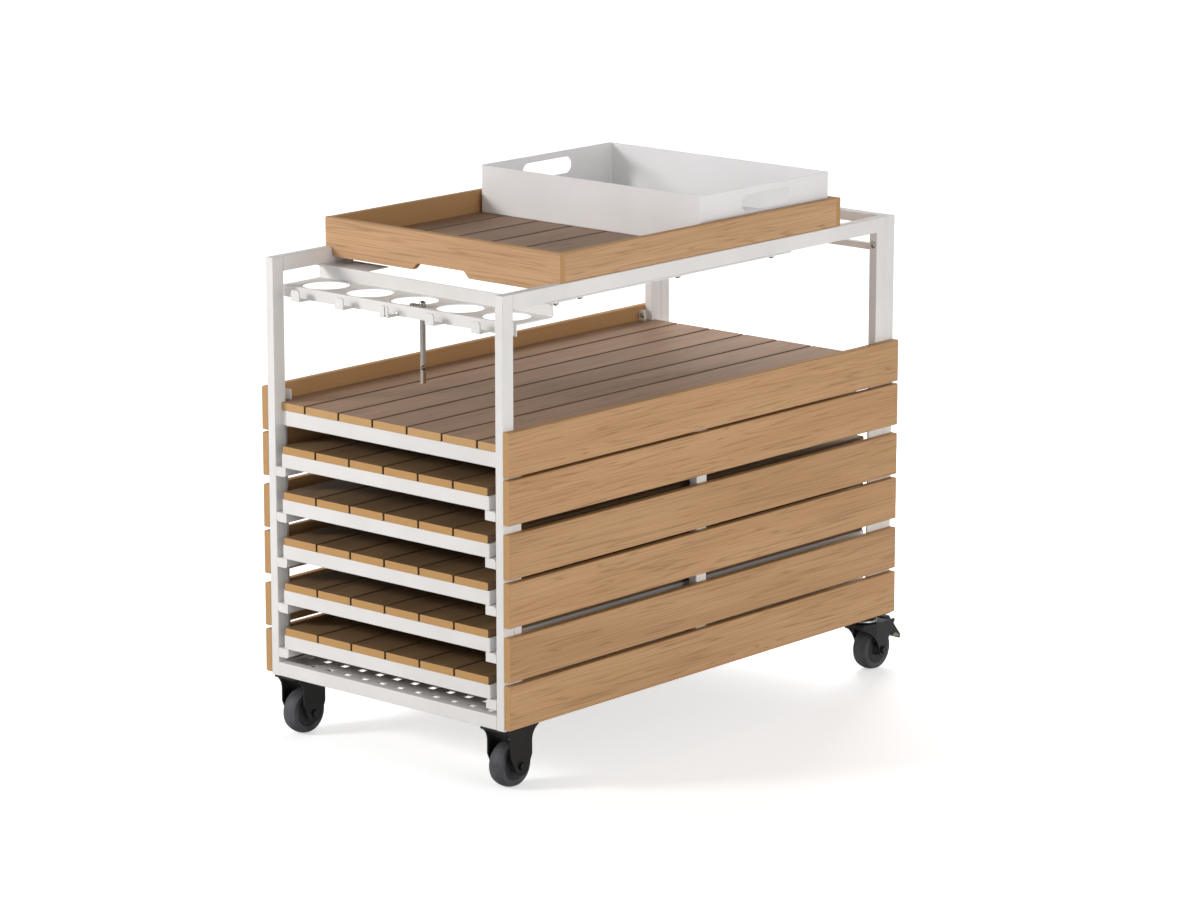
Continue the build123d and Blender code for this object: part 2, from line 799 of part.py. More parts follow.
def axle_bolt(name, x, y):
    # Plain bolt through both cheeks, hexagon head on one side and nut on the other
    with BuildPart() as axle:
        with BuildSketch(Plane((x, y, wheel_radius), x_dir=(1, 0, 0), z_dir=(0, -1, 0))) as shaft:
            Circle(axle_diameter / 2)
        extrude(amount=fork_outside / 2, both=True)
        for side in (-1, 1):
            seat = y + side * fork_outside / 2
            with BuildSketch(Plane((x, seat, wheel_radius), x_dir=(1, 0, 0), z_dir=(0, side, 0))) as hexagon:
                RegularPolygon(nut_across / 2, 6, major_radius=False)
            extrude(amount=nut_tall)
    axle.part.label = f"{name}_axle"
    export_step(axle.part, f"parts/{name}_axle.step")


# Fixed casters under the open end: the fork's cheeks flare out below the plate and taper to the axle.
for name, y in (("near_right", -caster_line), ("near_left", caster_line)):
    with BuildPart() as fixed_fork:
        mounting_plate(fixed_x, y)
        with BuildSketch(Plane.XZ) as fixed_cheek:
            waist = plate_bottom - fixed_flare_drop
            with Locations((fixed_x, wheel_radius)):
                Circle(fixed_cheek_round)
            with Locations((fixed_x, (waist + wheel_radius + cheek_shoulder) / 2)):
                Rectangle(fixed_cheek_wide, waist - wheel_radius - cheek_shoulder)
            make_hull()
            with BuildLine():
                flares = []
                for side in (-1, 1):
                    flares.append(
                        TangentArc(
                            (fixed_x + side * fixed_cheek_wide / 2, waist),
                            (fixed_x + side * fixed_cheek_top_wide / 2, plate_bottom),
                            tangent=(0, 1),
                        )
                    )
                Line(flares[0] @ 1, flares[1] @ 1)
                Line(flares[0] @ 0, flares[1] @ 0)
            make_face()
            with Locations((fixed_x, wheel_radius)):
                Circle(hole_radius, mode=Mode.SUBTRACT)
        cheeks(fixed_cheek.sketch, y)
    fixed_fork.part.label = f"{name}_fork"
    export_step(fixed_fork.part, f"parts/{name}_fork.step")
    axle_bolt(name, fixed_x, y)
    wheel(name, fixed_x, y)

# Swivel casters under the far end: plate with the upper race and king pin,
# raked fork under it, and a brake pedal
cup_bottom = plate_bottom - race_cup_tall
race_top = cup_bottom - running_gap
web_top = race_top - race_tall
web_bottom = web_top - fork_sheet
pin_hole = king_pin / 2 + running_gap
hinge_x = swivel_x + pedal_hinge_reach
hinge_z = plate_bottom - pedal_hinge_below_plate
pedal_hole = pedal_pin / 2 + running_gap
for name, y in (("far_right", -caster_line), ("far_left", caster_line)):
    with BuildPart() as swivel_plate:
        mounting_plate(swivel_x, y)
        with BuildSketch(Plane.XZ.offset(-y)) as cup:
            with BuildLine():
                Polyline(
                    (swivel_x, plate_bottom),
                    (swivel_x + race_cup_radius, plate_bottom),
                    (swivel_x + race_cup_radius - race_cup_tall / 2, cup_bottom),
                    (swivel_x + king_pin / 2, cup_bottom),
                    (swivel_x + king_pin / 2, web_bottom - running_gap),
                    (swivel_x + king_pin / 2 + rivet_lip, web_bottom - running_gap),
                    (swivel_x + king_pin / 2 + rivet_lip, web_bottom - running_gap - rivet_tall / 2),
                    (swivel_x + king_pin / 2, web_bottom - running_gap - rivet_tall),
                    (swivel_x, web_bottom - running_gap - rivet_tall),
                    close=True,
                )
            make_face()
        revolve(axis=Axis((swivel_x, y, 0), (0, 0, 1)))
    swivel_plate.part.label = f"{name}_plate"
    export_step(swivel_plate.part, f"parts/{name}_plate.step")

    with BuildPart() as race:
        with BuildSketch(Plane.XZ.offset(-y)) as race_section:
            with BuildLine():
                rim_x = swivel_x + race_radius - race_tall / 2
                rim_top = Line((swivel_x + pin_hole, race_top), (rim_x, race_top))
                rim = ThreePointArc(
                    rim_top @ 1,
                    (rim_x + race_tall / 2, race_top - race_tall / 2),
                    (rim_x, web_top),
                )
                Polyline(rim @ 1, (swivel_x + pin_hole, web_top), rim_top @ 0)
            make_face()
        revolve(axis=Axis((swivel_x, y, 0), (0, 0, 1)))
    race.part.label = f"{name}_race"
    export_step(race.part, f"parts/{name}_race.step")

    with BuildPart() as swivel_fork:
        leg_front = swivel_x - fork_front_reach
        leg_crease = swivel_x + fork_crease_reach
        leg_back = swivel_x + fork_back_reach
        half_outside = fork_outside / 2
        with BuildSketch() as legs:
            for side in (-1, 1):
                with BuildLine():
                    Polyline(
                        (leg_front, y + side * (half_outside - fork_front_inward)),
                        (leg_crease, y + side * half_outside),
                        (leg_back, y + side * half_outside),
                        (leg_back, y + side * (half_outside - fork_sheet)),
                        (leg_crease, y + side * (half_outside - fork_sheet)),
                        (leg_front, y + side * (half_outside - fork_front_inward - fork_sheet)),
                        close=True,
                    )
                make_face()
        extrude(amount=web_top)
        with BuildSketch(Plane.XZ) as leg_side:
            with BuildLine():
                Polyline(
                    (swivel_wheel_x, wheel_radius - leg_round),
                    (swivel_wheel_x + leg_round, wheel_radius),
                    (swivel_x + leg_back_reach, wheel_radius + cheek_shoulder),
                    (leg_back, hinge_z),
                    (leg_back, web_top),
                    (leg_front, web_top),
                    (leg_front, web_bottom - fork_front_drop),
                )
                arch_foot = (swivel_wheel_x - leg_round, wheel_radius)
                arch_middle = (
                    (leg_front + swivel_wheel_x - leg_round) / 2 + leg_arch,
                    (web_bottom - fork_front_drop + wheel_radius) / 2 + leg_arch,
                )
                ThreePointArc((leg_front, web_bottom - fork_front_drop), arch_middle, arch_foot)
                Line(arch_foot, (swivel_wheel_x, wheel_radius - leg_round))
            make_face()
            with Locations((swivel_wheel_x, wheel_radius)):
                Circle(leg_round)
                Circle(hole_radius, mode=Mode.SUBTRACT)
            with Locations((hinge_x, hinge_z)):
                Circle(pedal_hole, mode=Mode.SUBTRACT)
        extrude(amount=frame_width, both=True, mode=Mode.INTERSECT)
        with BuildSketch(Plane.XY.offset(web_bottom)) as web:
            with BuildLine():
                Polyline(
                    (leg_front, y - half_outside + fork_front_inward),
                    (leg_crease, y - half_outside),
                    (swivel_x + web_reach, y - half_outside),
                    (swivel_x + web_reach, y + half_outside),
                    (leg_crease, y + half_outside),
                    (leg_front, y + half_outside - fork_front_inward),
                    close=True,
                )
            make_face()
            with Locations((swivel_x, y)):
                Circle(pin_hole, mode=Mode.SUBTRACT)
        extrude(amount=fork_sheet)
        with BuildSketch(Plane.XY.offset(web_bottom - fork_lip_tall)) as front_lip:
            with Locations((leg_front + fork_sheet / 2, y)):
                Rectangle(fork_sheet, 2 * (half_outside - fork_front_inward))
        extrude(amount=fork_lip_tall)
    swivel_fork.part.label = f"{name}_fork"
    export_step(swivel_fork.part, f"parts/{name}_fork.step")
    axle_bolt(name, swivel_wheel_x, y)
    wheel(name, swivel_wheel_x, y)

    # Brake pedal: a hood on a barrel that turns between the cheeks on a pin
    with BuildPart() as pedal:
        with BuildSketch(Plane.XZ.offset(-y)) as pedal_side:
            with Locations((hinge_x, hinge_z)):
                Circle(pedal_barrel)
            with BuildLine():
                tip = swivel_x + pedal_reach
                Polyline(
                    (hinge_x, hinge_z + pedal_barrel),
                    (hinge_x + 2 * pedal_barrel, hinge_z + pedal_barrel),
                    (tip, pedal_tip_height + pedal_tip_thick / 2),
                    (tip, pedal_tip_height - pedal_tip_thick / 2),
                    (tip - pedal_tip_thick / 2, pedal_tip_height - pedal_tip_thick / 2),
                    (swivel_x + pedal_heel_reach, pedal_heel_height),
                    (hinge_x + pedal_barrel, hinge_z - pedal_barrel / 2),
                    (hinge_x, hinge_z),
                    close=True,
                )
            make_face()
        extrude(amount=pedal_wide / 2, both=True)
        with BuildSketch(Plane.XZ.offset(-y)) as pin:
            with Locations((hinge_x, hinge_z)):
                Circle(pedal_pin / 2)
        extrude(amount=fork_outside / 2, both=True)
    pedal.part.label = f"{name}_pedal"
    export_step(pedal.part, f"parts/{name}_pedal.step")

# Domed bolts hold the caster plates up to the frame.
with BuildPart() as caster_bolts:
    for x in (fixed_x, swivel_x):
        for side in (-1, 1):
            corners = [
                (x + along * plate_bolt_x / 2, side * caster_line + across * plate_bolt_y / 2, plate_bottom)
                for along in (-1, 1)
                for across in (-1, 1)
            ]
            domes(corners, (0, 0, -1), bolt_head, bolt_head_tall)
caster_bolts.part.label = "caster_bolts"
export_step(caster_bolts.part, "parts/caster_bolts.step")

# Domed bolts on the far posts level with the grip bar, and through the tops of the stiles
with BuildPart() as frame_bolts:
    stile_bolt_z = stile_top - stile_bolt_below_top
    far_tab = far_stile_x - stile_wide / 2
    near_tab = stile_x + stile_wide / 2
    for side in (-1, 1):
        post_middle = side * post_line
        tab_middle = side * (half_width - (stile_thick + stile_tab) / 2)
        grip_bolt = (far_face - tube_deep, post_middle, grip_bar_top)
        domes([grip_bolt], (-1, 0, 0), frame_bolt_head, frame_bolt_tall)
        domes([(far_tab, tab_middle, stile_bolt_z)], (-1, 0, 0), tab_bolt_head, frame_bolt_tall)
        domes([(near_tab, tab_middle, stile_bolt_z)], (1, 0, 0), tab_bolt_head, frame_bolt_tall)
frame_bolts.part.label = "frame_bolts"
export_step(frame_bolts.part, "parts/frame_bolts.step")
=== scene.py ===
import bmesh
import bpy
import json
from math import cos, pi, radians, sin
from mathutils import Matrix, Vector


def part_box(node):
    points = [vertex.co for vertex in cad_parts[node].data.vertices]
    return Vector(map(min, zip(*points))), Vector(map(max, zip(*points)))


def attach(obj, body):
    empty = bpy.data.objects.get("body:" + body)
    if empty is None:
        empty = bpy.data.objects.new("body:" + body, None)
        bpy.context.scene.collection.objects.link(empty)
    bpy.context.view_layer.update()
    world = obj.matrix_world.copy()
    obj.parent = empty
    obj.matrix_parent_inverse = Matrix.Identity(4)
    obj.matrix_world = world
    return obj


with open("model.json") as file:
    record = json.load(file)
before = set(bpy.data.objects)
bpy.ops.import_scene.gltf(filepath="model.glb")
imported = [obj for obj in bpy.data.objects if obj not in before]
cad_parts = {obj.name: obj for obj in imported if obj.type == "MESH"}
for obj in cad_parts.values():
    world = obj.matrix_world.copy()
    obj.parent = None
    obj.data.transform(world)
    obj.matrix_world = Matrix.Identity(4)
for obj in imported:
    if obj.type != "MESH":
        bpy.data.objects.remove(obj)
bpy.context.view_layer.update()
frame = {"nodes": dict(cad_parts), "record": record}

print("bar cart: frame loaded")

mmPerM = 1000.0
bevelSamples = 4
noiseMiddle = (0.3, 0.7)    # most values of a noise texture lie between these
flanks = ("right", "left")
sides = ((-1, "Right"), (1, "Left"))    # direction along Y and the word for it in a piece's name


def linearFromHex(code):
    channels = [int(code[i:i + 2], 16) / 255 for i in (1, 3, 5)]
    return tuple(c / 12.92 if c <= 0.04045 else ((c + 0.055) / 1.055) ** 2.4 for c in channels) + (1.0,)


def addNode(tree, kind, inputs=None, **settings):
    node = tree.nodes.new(kind)
    for name, value in settings.items():
        setattr(node, name, value)
    for socket, value in (inputs or {}).items():
        if isinstance(value, bpy.types.NodeSocket):
            tree.links.new(value, node.inputs[socket])
        else:
            node.inputs[socket].default_value = value
    return node


def startMaterial(name):
    material = bpy.data.materials.new(name)
    material.use_nodes = True
    tree = material.node_tree
    tree.nodes.clear()
    return material, tree


# Settings that carry a value from one span to another
def stretch(value, span, reach):
    return {"Value": value, "From Min": span[0], "From Max": span[1], "To Min": reach[0], "To Max": reach[1]}


def setRamp(ramp, places, codes):
    for element, place, code in zip(ramp.elements, places, codes):
        element.position = place
        element.color = linearFromHex(code)


# Slow change between the two tones of a coat
def mottledTone(tree, place, look):
    cloud = addNode(tree, "ShaderNodeTexNoise", {
        "Vector": place, "Scale": mmPerM / look["cloudMm"], "Detail": look["cloudDetail"]})
    tone = addNode(tree, "ShaderNodeValToRGB", {"Fac": cloud.outputs["Fac"]})
    setRamp(tone.color_ramp, look["tonesAt"], look["tones"])
    return tone.outputs["Color"]


# The end of every finish: softened edges, bump where the surface has a texture, and the shader
def addSurface(tree, look, color, roughness, height=None):
    edge = addNode(tree, "ShaderNodeBevel", {"Radius": look["edgeMm"] / mmPerM}, samples=bevelSamples)
    normal = edge.outputs["Normal"]
    if height is not None:
        bump = addNode(tree, "ShaderNodeBump", {
            "Height": height, "Normal": normal,
            "Strength": look["bumpStrength"], "Distance": look["bumpMm"] / mmPerM})
        normal = bump.outputs["Normal"]
    shader = addNode(tree, "ShaderNodeBsdfPrincipled", {
        "Base Color": color, "Roughness": roughness, "Normal": normal} | look["shader"])
    addNode(tree, "ShaderNodeOutputMaterial", {"Surface": shader.outputs["BSDF"]})


# Powder coat on welded steel: a baked polyester skin, so an even satin white with a fine orange peel
powderCoat = {
    "tones": ("#E4E1DE", "#E9E6E3"),    # thinner film first
    "tonesAt": (0.35, 0.62),
    "cloudMm": 111.1,
    "cloudDetail": 3.0,
    "roughness": 0.42,
    "glossSwing": (-0.05, 0.07),
    "peelMm": 1.6,                      # orange peel is about 0.5 mm, drawn coarser so that it shows
    "peelDetail": 2.0,
    "bumpStrength": 0.12,
    "bumpMm": 0.2,
    "edgeMm": 0.9,
    "shader": {"Specular IOR Level": 0.3},
}
whiteTrayCoat = powderCoat | {"tones": ("#E9E7E7", "#EDEBEB"), "peelMm": 1.2}


def powderCoatedSteel(name, look):
    material, tree = startMaterial(name)
    place = addNode(tree, "ShaderNodeTexCoord").outputs["Object"]
    peel = addNode(tree, "ShaderNodeTexNoise", {
        "Vector": place, "Scale": mmPerM / look["peelMm"], "Detail": look["peelDetail"]}).outputs["Fac"]
    glossReach = [look["roughness"] + swing for swing in look["glossSwing"]]
    gloss = addNode(tree, "ShaderNodeMapRange", stretch(peel, noiseMiddle, glossReach))
    addSurface(tree, look, mottledTone(tree, place, look), gloss.outputs["Result"], peel)
    return material


# Polystyrene lumber: pigment streaks drawn out by the extruder, the grain brushed into the outer face only,
# so ends, edges and backs show the plain golden core
claddingPlank = {
    "light": "#C59C73", "mid": "#BA9067", "dark": "#8E6846",
    "core": "#BE9464",           # cut ends
    "side": "#B98F60",           # edges and backs
    "roughness": 0.52,
    "along": "X",
    "row": ("Z", 18.8, 90.2),    # axis, start and pitch in mm of the rows, each with its own figure
    "faced": ("Y", 0.0),         # grain on the faces that look away from this middle, in mm
}
# Deck boards: the side tone on their edges and undersides is dark brown, painted shade that makes the gaps between
# boards read as dark lines; the shelf, tray floor and batten boards keep it
deckPlank = {
    "light": "#B08E73", "mid": "#A18167", "dark": "#745C4A", "core": "#C69D6A", "side": "#7A624B",
    "roughness": 0.5, "along": "X", "row": ("Y", 41.5, 83.0), "faced": ("Z", 0.0),
}
# Shelf boards: face tones darker than the deck's, painted shade for the inside of the cabinet
shadedShelfPlank = deckPlank | {
    "light": "#8C6F4F", "mid": "#7A6044", "dark": "#5C4731", "core": "#C0945E", "row": ("Y", 0.0, 83.0),
}
traySidePanel = claddingPlank | {
    "light": "#CDA47C", "mid": "#C29973", "dark": "#9A744E", "core": "#B98F60", "row": ("Y", 0.0, 900.0),
}
trayEndPanel = traySidePanel | {"along": "Y", "row": ("X", 75.5, 900.0), "faced": ("X", 75.5)}
trayFloorPlank = deckPlank | {"light": "#A88970", "mid": "#997A62", "dark": "#6F5746", "core": "#B39067"}
# Tray battens: near-black brown, painted shade for the dark space under the tray
shadedBattenPlank = deckPlank | {
    "light": "#4A3D33", "mid": "#40352C", "dark": "#2E2620", "core": "#453A31", "along": "Y",
}
grain = {
    "layers": {
        # name: length mm, width mm, detail, warp
        "clouds": (520, 60, 2.0, 0.0),      # slow change of tone
        "figure": (900, 26, 2.5, 0.25),     # the field whose level lines make the long grain lines
        "streaks": (300, 2.2, 3.0, 0.0),    # pigment streaks
        "fibres": (110, 1.0, 3.0, 0.0),     # brushed pores, drawn a little coarse
    },
    "tonesAt": (0.32, 0.66),
    "figureLines": 13.0,
    "lineFold": 0.5,
    "seedStep": 37.0,                       # keeps the rows of one object apart from those of the next
    "shiftM": (6.1, 5.3, 4.7),              # how far a row's figure may be moved
    # from a span of the pattern to what it gives: share of the dark tone, or level of the tone
    "line": ((0.0, 0.17), (0.8, 0.0)),
    "lineBreak": ((0.36, 0.6), (1.0, 0.25)),
    "pore": ((0.3, 0.52), (0.24, 0.0)),
    "board": ((0.0, 1.0), (0.96, 1.04)),
    "streak": (noiseMiddle, (0.92, 1.08)),
    "coreStreak": ((0.25, 0.75), (0.96, 1.04)),
    "sawn": (noiseMiddle, (0.92, 1.07)),
    "sawnMm": 1.4286,                       # marks of the saw and of the extruder's die
    "sawnDetail": 3.0,
    "squareOn": 0.9,                        # a face counts as turned to an axis above this cosine
    "bumpStrength": 0.3,
    "bumpMm": 0.3,
    "edgeMm": 0.8,
    "shader": {"Specular IOR Level": 0.22},
}


def grainedPlank(name, look):
    material, tree = startMaterial(name)
    place = addNode(tree, "ShaderNodeTexCoord")
    position = addNode(tree, "ShaderNodeSeparateXYZ", {0: place.outputs["Object"]}).outputs
    facing = addNode(tree, "ShaderNodeSeparateXYZ", {0: place.outputs["Normal"]}).outputs

    # Every row of planks takes its own part of the pattern
    rowAxis, start, pitch = look["row"]
    rowStep = addNode(tree, "ShaderNodeMath", {0: position[rowAxis], 1: -start / mmPerM}, operation="ADD")
    rowCount = addNode(tree, "ShaderNodeMath", {0: rowStep.outputs[0], 1: pitch / mmPerM}, operation="DIVIDE")
    row = addNode(tree, "ShaderNodeMath", {0: rowCount.outputs[0]}, operation="FLOOR")
    ownSeed = addNode(tree, "ShaderNodeObjectInfo").outputs["Random"]
    seed = addNode(tree, "ShaderNodeMath", {0: ownSeed, 1: grain["seedStep"], 2: row.outputs[0]},
                   operation="MULTIPLY_ADD")
    dice = addNode(tree, "ShaderNodeTexWhiteNoise", {"W": seed.outputs[0]}, noise_dimensions="1D")
    shift = addNode(tree, "ShaderNodeVectorMath", {0: dice.outputs["Color"], 1: grain["shiftM"]},
                    operation="MULTIPLY")
    own = addNode(tree, "ShaderNodeVectorMath", {0: place.outputs["Object"], 1: shift.outputs[0]},
                  operation="ADD")

    layers = {}
    for layer, (length, width, detail, warp) in grain["layers"].items():
        along, across = mmPerM / length, mmPerM / width
        scales = (along, across, across) if look["along"] == "X" else (across, along, across)
        drawnOut = addNode(tree, "ShaderNodeVectorMath", {0: own.outputs[0], 1: scales}, operation="MULTIPLY")
        layers[layer] = addNode(tree, "ShaderNodeTexNoise", {
            "Vector": drawnOut.outputs[0], "Scale": 1.0, "Detail": detail, "Distortion": warp}).outputs["Fac"]
    sawn = addNode(tree, "ShaderNodeTexNoise", {
        "Vector": place.outputs["Object"], "Scale": mmPerM / grain["sawnMm"], "Detail": grain["sawnDetail"]})
    levels = addNode(tree, "ShaderNodeMath", {0: layers["figure"], 1: grain["figureLines"]}, operation="MULTIPLY")
    fold = addNode(tree, "ShaderNodeMath", {0: levels.outputs[0], 1: grain["lineFold"]}, operation="PINGPONG")
    shares = {
        share: addNode(tree, "ShaderNodeMapRange", stretch(pattern, *grain[share])).outputs["Result"]
        for share, pattern in {
            "line": fold.outputs[0], "lineBreak": layers["fibres"], "pore": layers["fibres"],
            "board": dice.outputs["Value"], "streak": layers["streaks"], "coreStreak": layers["streaks"],
            "sawn": sawn.outputs["Fac"]}.items()}

    # The brushed face: tone, grain lines, pores, then the level of the board and its streaks
    tone = addNode(tree, "ShaderNodeValToRGB", {"Fac": layers["clouds"]})
    setRamp(tone.color_ramp, grain["tonesAt"], (look["mid"], look["light"]))
    dark = linearFromHex(look["dark"])
    lineShare = addNode(tree, "ShaderNodeMath", {0: shares["line"], 1: shares["lineBreak"]}, operation="MULTIPLY")
    lined = addNode(tree, "ShaderNodeMix", {
        "Factor": lineShare.outputs[0], "A": tone.outputs["Color"], "B": dark}, data_type="RGBA")
    pored = addNode(tree, "ShaderNodeMix", {
        "Factor": shares["pore"], "A": lined.outputs["Result"], "B": dark}, data_type="RGBA")
    level = addNode(tree, "ShaderNodeMath", {0: shares["streak"], 1: shares["board"]}, operation="MULTIPLY")
    faceTone = addNode(tree, "ShaderNodeVectorMath", {0: pored.outputs["Result"], 1: level.outputs[0]},
                       operation="MULTIPLY")

    # The core: one tone on cut ends, another on edges and backs; on deck-type boards that edge tone is painted
    # shade for the gaps between boards
    endways = addNode(tree, "ShaderNodeMath", {0: facing[look["along"]]}, operation="ABSOLUTE")
    cutEnd = addNode(tree, "ShaderNodeMath", {0: endways.outputs[0], 1: grain["squareOn"]},
                     operation="GREATER_THAN")
    edgeToneAndGapShade = addNode(tree, "ShaderNodeMix", {
        "Factor": cutEnd.outputs[0], "A": linearFromHex(look["side"]), "B": linearFromHex(look["core"])},
        data_type="RGBA")
    coreLevel = addNode(tree, "ShaderNodeMath", {0: shares["sawn"], 1: shares["coreStreak"]}, operation="MULTIPLY")
    core = addNode(tree, "ShaderNodeVectorMath", {0: edgeToneAndGapShade.outputs["Result"], 1: coreLevel.outputs[0]},
                   operation="MULTIPLY")

    # Only faces that look outwards are brushed
    facedAxis, middle = look["faced"]
    fromMiddle = addNode(tree, "ShaderNodeMath", {0: position[facedAxis], 1: -middle / mmPerM}, operation="ADD")
    away = addNode(tree, "ShaderNodeMath", {0: fromMiddle.outputs[0]}, operation="SIGN")
    outward = addNode(tree, "ShaderNodeMath", {0: facing[facedAxis], 1: away.outputs[0]}, operation="MULTIPLY")
    brushed = addNode(tree, "ShaderNodeMath", {0: outward.outputs[0], 1: grain["squareOn"]},
                      operation="GREATER_THAN")
    color = addNode(tree, "ShaderNodeMix", {
        "Factor": brushed.outputs[0], "A": core.outputs[0], "B": faceTone.outputs[0]}, data_type="RGBA")
    addSurface(tree, grain, color.outputs["Result"], look["roughness"], layers["fibres"])
    return material


# Black coat on steel pressings: dipped nylon, so a deep black with a low sheen and rounded edges
casterBlack = {
    "tones": ("#0A0A0A", "#111110"),
    "tonesAt": (0.4, 0.7),
    "cloudMm": 25.0,
    "cloudDetail": 4.0,
    "roughness": 0.34,
    "grainMm": 1.2,
    "grainDetail": 2.0,
    "bumpStrength": 0.15,
    "bumpMm": 0.3,
    "edgeMm": 1.8,
    "shader": {"Specular IOR Level": 0.45},
}
pedalBlack = casterBlack | {"roughness": 0.45}
# Moulded nylon of the hubs: a greyer black and duller than the coat
hubNylon = casterBlack | {"tones": ("#2B2B2D", "#343436"), "roughness": 0.5}
# Moulded rubber of the tyres: dark grey with a dry bloom
tyreRubber = casterBlack | {
    "tones": ("#3E3E41", "#505053"), "roughness": 0.62, "grainMm": 2.0, "edgeMm": 0.8,
}


def darkSkin(name, look):
    material, tree = startMaterial(name)
    place = addNode(tree, "ShaderNodeTexCoord").outputs["Object"]
    speck = addNode(tree, "ShaderNodeTexNoise", {
        "Vector": place, "Scale": mmPerM / look["grainMm"], "Detail": look["grainDetail"]})
    addSurface(tree, look, mottledTone(tree, place, look), look["roughness"], speck.outputs["Fac"])
    return material


# Chrome plate on the opener: polished, so nearly a mirror with faint smears
chromePlate = {
    "color": "#A89E96",
    "roughness": 0.14,
    "smearMm": 4.545,
    "smearDetail": 3.0,
    "smearShare": (0.7, 1.4),    # of the roughness
    "edgeMm": 0.5,
    "shader": {"Metallic": 1.0},
}
stainlessHead = chromePlate | {"color": "#BDBBB8", "roughness": 0.28}    # turned screw heads, softly bright
zincPlate = chromePlate | {"color": "#B9B9B6", "roughness": 0.35}        # plated ball races, pale and satin
releaseLeaf = chromePlate | {"color": "#8E8A74", "roughness": 0.4}       # yellow-passivated pressing


def brightMetal(name, look):
    material, tree = startMaterial(name)
    place = addNode(tree, "ShaderNodeTexCoord").outputs["Object"]
    smear = addNode(tree, "ShaderNodeTexNoise", {
        "Vector": place, "Scale": mmPerM / look["smearMm"], "Detail": look["smearDetail"]})
    glossReach = [look["roughness"] * share for share in look["smearShare"]]
    gloss = addNode(tree, "ShaderNodeMapRange", stretch(smear.outputs["Fac"], noiseMiddle, glossReach))
    addSurface(tree, look, linearFromHex(look["color"]), gloss.outputs["Result"])
    return material


# The finish of each slot in the record, then the two nodes whose grain runs another way
finishes = {
    "frame_paint": powderCoatedSteel("framePowderCoat", powderCoat),
    "sheet_paint": powderCoatedSteel("sheetPowderCoat", powderCoat),
    "tray_paint": powderCoatedSteel("whiteTrayPowderCoat", whiteTrayCoat),
    "side_wood": grainedPlank("claddingPlanks", claddingPlank),
    "deck_wood": grainedPlank("deckPlanks", deckPlank),
    "shelf_wood": grainedPlank("shadedShelfPlanks", shadedShelfPlank),
    "tray_wood": grainedPlank("traySidePanels", traySidePanel),
    "tray_floor_wood": grainedPlank("trayFloorPlanks", trayFloorPlank),
    "caster_black": darkSkin("casterBlackCoat", casterBlack),
    "pedal_black": darkSkin("pedalBlackCoat", pedalBlack),
    "hub_plastic": darkSkin("hubNylon", hubNylon),
    "tyre_rubber": darkSkin("tyreRubber", tyreRubber),
    "opener_chrome": brightMetal("openerChrome", chromePlate),
    "screw_steel": brightMetal("stainlessScrews", stainlessHead),
    "caster_zinc": brightMetal("zincPlate", zincPlate),
}
finishOf = {entry["node"]: finishes[entry["material_slot"]] for entry in frame["record"]["subparts"]}
finishOf["tray_ends"] = grainedPlank("trayEndPanels", trayEndPanel)
finishOf["tray_battens"] = grainedPlank("shadedTrayBattens", shadedBattenPlank)
for nodeName, cadObject in frame["nodes"].items():
    for materialSlot in cadObject.material_slots:
        materialSlot.material = finishOf[nodeName]
print("bar cart: materials on", len(finishOf), "nodes")


def addPiece(name, build, finish, body):
    mesh = bpy.data.meshes.new(name)
    shape = bmesh.new()
    build(shape)
    bmesh.ops.recalc_face_normals(shape, faces=shape.faces)
    shape.to_mesh(mesh)
    shape.free()
    mesh.materials.append(finish)
    piece = bpy.data.objects.new(name, mesh)
    bpy.context.scene.collection.objects.link(piece)
    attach(piece, body)


# A band of faces from one closed outline to the next
def bridge(shape, first, second):
    for corner in range(len(first)):
        other = (corner + 1) % len(first)
        shape.faces.new((first[corner], first[other], second[other], second[corner]))


# Moulded wheel faces: ribbed discs that close the hub's hollow on both sides of each wheel
wheelFace = {
    "innerMm": 12.2,
    "outerMm": 25.8,
    "faceMm": 12.4,       # from the wheel's middle plane
    "backMm": 10.9,
    "ribMm": (15.0, 18.6, 22.2),
    "ribHalfMm": 0.9,     # at the foot, and half of it at the top
    "ribTallMm": 0.8,
    "steps": 64,
}


def wheelFaceProfile(look):
    profile = [(look["innerMm"], look["backMm"]), (look["innerMm"], look["faceMm"])]
    half, top = look["ribHalfMm"], look["faceMm"] + look["ribTallMm"]
    for radius in look["ribMm"]:
        profile += [(radius - half, look["faceMm"]), (radius - half / 2, top)]
        profile += [(radius + half / 2, top), (radius + half, look["faceMm"])]
    return profile + [(look["outerMm"], look["faceMm"]), (look["outerMm"], look["backMm"])]


def addWheelFace(wheel, side, label):
    low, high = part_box(f"{wheel}_hub")
    center = (Vector(low) + Vector(high)) / 2
    profile = wheelFaceProfile(wheelFace)

    def build(shape):
        rings = []
        for step in range(wheelFace["steps"]):
            angle = 2 * pi * step / wheelFace["steps"]
            rings.append([shape.verts.new((
                center.x + radius / mmPerM * cos(angle),
                center.y + side * out / mmPerM,
                center.z + radius / mmPerM * sin(angle))) for radius, out in profile])
        for index, ring in enumerate(rings):
            bridge(shape, ring, rings[(index + 1) % len(rings)])

    addPiece(f"{wheel}_wheelFace{label}", build, finishes["hub_plastic"], f"{wheel}_wheel")


for end in ("near", "far"):
    for flank in flanks:
        for side, label in sides:
            addWheelFace(f"{end}_{flank}", side, label)

# Release leaf: a folded steel tongue let into each cheek of the brake pedal
leaf = {
    # from the pedal's tip and lowest edge, in mm
    "outlineMm": ((-26, 8.5), (-20, 13.0), (-13, 12.6), (-4.5, 6.8), (-5.5, 3.2), (-15, 5.6)),
    "cheekMm": 12.1,      # from the pedal's middle
    "proudMm": 0.7,
}
leafFinish = brightMetal("releaseLeafSteel", releaseLeaf)


